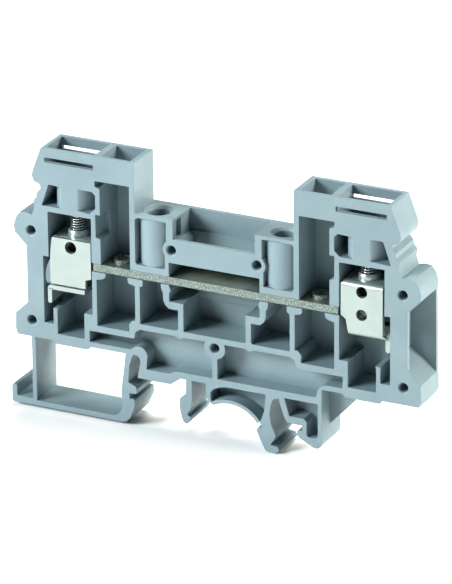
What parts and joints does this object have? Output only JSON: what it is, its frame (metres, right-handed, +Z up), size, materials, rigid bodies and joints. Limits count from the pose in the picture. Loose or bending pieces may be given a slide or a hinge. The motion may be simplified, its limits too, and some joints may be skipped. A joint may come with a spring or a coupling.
{
  "type": "din rail terminal block",
  "caption": "Screw-clamp feed-through terminal block that clips on a 35 mm rail, with an open face, a busbar, rising cages and a sprung foot latch.",
  "frame": {"origin": "middle of the seat on the 35 mm rail's top face, in the middle of the block's thickness", "axes": "+X along the block across the rail, towards the end with the fixed hook; -Y out of the open face, along the rail; +Z up, away from the rail"},
  "size_m": [0.0833, 0.0094, 0.0523],
  "materials": {
    "grey_polyamide": "moulded satin",
    "tinned_bar": "dull tin plating over a sheared edge",
    "zinc_steel": "bright zinc plating",
    "zinc_screw": "bright zinc plating, cut thread"
  },
  "bodies": {
    "block": {"housing": "grey_polyamide", "busbar": "tinned_bar"},
    "latch": {"rail_latch": "grey_polyamide"},
    "left_cage": {"cage_left": "zinc_steel"},
    "right_cage": {"cage_right": "zinc_steel"},
    "left_screw": {"screw_left": "zinc_screw"},
    "right_screw": {"screw_right": "zinc_screw"}
  },
  "joints": [
    {"name": "left_screw_turn", "type": "hinge", "parent": "block", "child": "left_screw", "pos_m": [-0.0293, -0.00045, 0.03], "axis": [0, 0, -1], "range_deg": [-1008, 2520]},
    {"name": "left_cage_lift", "type": "slide", "parent": "block", "child": "left_cage", "axis": [0, 0, 1], "range_m": [-0.0014, 0.0035]},
    {"name": "right_screw_turn", "type": "hinge", "parent": "block", "child": "right_screw", "pos_m": [0.0293, -0.00045, 0.03], "axis": [0, 0, -1], "range_deg": [-2016, 1512]},
    {"name": "right_cage_lift", "type": "slide", "parent": "block", "child": "right_cage", "axis": [0, 0, 1], "range_m": [-0.0028, 0.0021]},
    {"name": "latch_release", "type": "slide", "parent": "block", "child": "latch", "axis": [-1, 0, 0], "range_m": [0, 0.0016], "stiffness_N_per_m": 8000}
  ],
  "couplings": [
    {"joint": "left_screw_turn", "follows": "left_cage_lift", "rad_per_m": 12566},
    {"joint": "right_screw_turn", "follows": "right_cage_lift", "rad_per_m": 12566}
  ]
}
